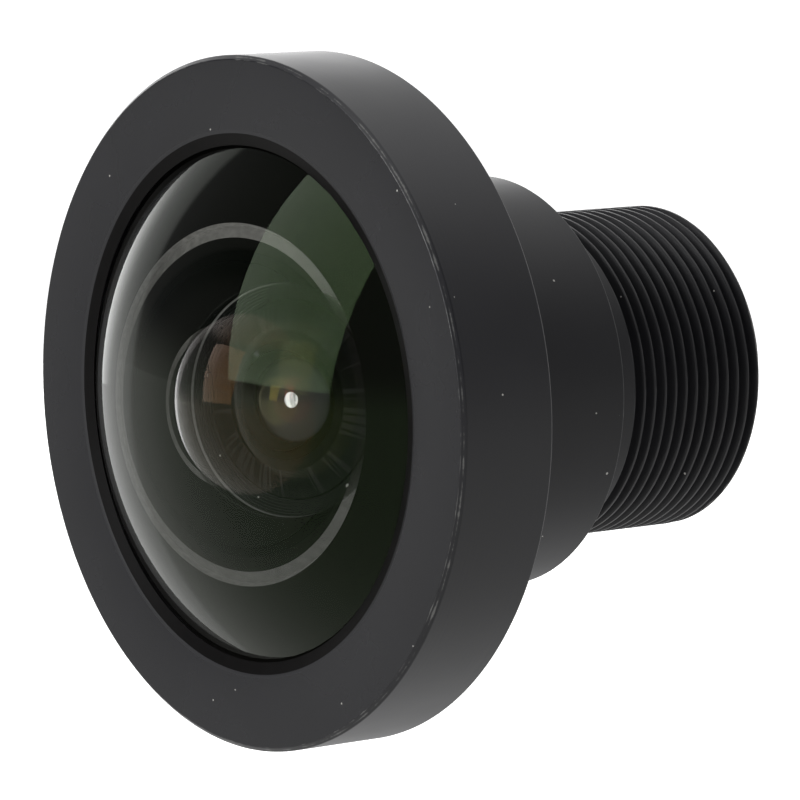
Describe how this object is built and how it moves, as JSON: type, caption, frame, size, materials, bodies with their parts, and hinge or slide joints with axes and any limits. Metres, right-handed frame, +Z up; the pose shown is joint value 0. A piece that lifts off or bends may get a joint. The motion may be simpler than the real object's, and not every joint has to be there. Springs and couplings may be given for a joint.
{
  "type": "fisheye lens",
  "caption": "Small fisheye board lens with a domed front glass, a screw-on round hood, a stepped barrel and a fine mount thread.",
  "frame": {"origin": "on the optical axis, where the mount thread of the barrel begins", "axes": "+Y along the optical axis toward the rear of the lens, so the domed front looks toward -Y; +Z up; +X to the right when seen from the front"},
  "size_m": [0.0244, 0.0224, 0.0244],
  "materials": {
    "hood_metal": "turned and anodised matt black",
    "barrel_metal": "anodised satin black",
    "ring_metal": "anodised satin black",
    "spacer_metal": "anodised matt black",
    "stop_sheet": "matt black",
    "gasket_sheet": "matt black film",
    "washer_plastic": "matt black film",
    "seal_rubber": "smooth black",
    "front_glass": "polished and coated, with a finely ground rear seat",
    "inner_glass": "polished and coated",
    "filter_glass": "polished plate with a thin coating"
  },
  "bodies": {
    "barrel": {"barrel": "barrel_metal", "front_element": "front_glass", "front_seal": "seal_rubber", "first_spacer": "spacer_metal", "second_element": "inner_glass", "front_stop_sheet": "stop_sheet", "second_spacer": "spacer_metal", "third_element": "inner_glass", "third_spacer": "spacer_metal", "aperture_stop": "stop_sheet", "fourth_element": "inner_glass", "fifth_element": "inner_glass", "rear_stop_sheet": "stop_sheet", "fourth_spacer": "spacer_metal", "sixth_element": "inner_glass", "fifth_spacer": "spacer_metal", "rear_filter": "filter_glass"},
    "lip_gasket": {"lip_gasket": "gasket_sheet"},
    "front_hood": {"front_hood": "hood_metal"},
    "slip_washer": {"slip_washer": "washer_plastic"},
    "retaining_ring": {"retaining_ring": "ring_metal"}
  },
  "joints": [
    {"name": "hood_travel", "type": "slide", "parent": "barrel", "child": "lip_gasket", "axis": [0, -1, 0], "range_m": [0, 0.00195]},
    {"name": "hood_turn", "type": "hinge", "parent": "lip_gasket", "child": "front_hood", "pos_m": [0, -0.0111, 0], "axis": [0, -1, 0], "range_deg": [0, 1404]},
    {"name": "ring_travel", "type": "slide", "parent": "barrel", "child": "slip_washer", "axis": [0, 1, 0], "range_m": [0, 0.00266]},
    {"name": "ring_turn", "type": "hinge", "parent": "slip_washer", "child": "retaining_ring", "pos_m": [0, 0.00426, 0], "axis": [0, 1, 0], "range_deg": [0, 2736]}
  ],
  "couplings": [
    {"joint": "hood_turn", "follows": "hood_travel", "rad_per_m": 12566},
    {"joint": "ring_turn", "follows": "ring_travel", "rad_per_m": 17952}
  ]
}
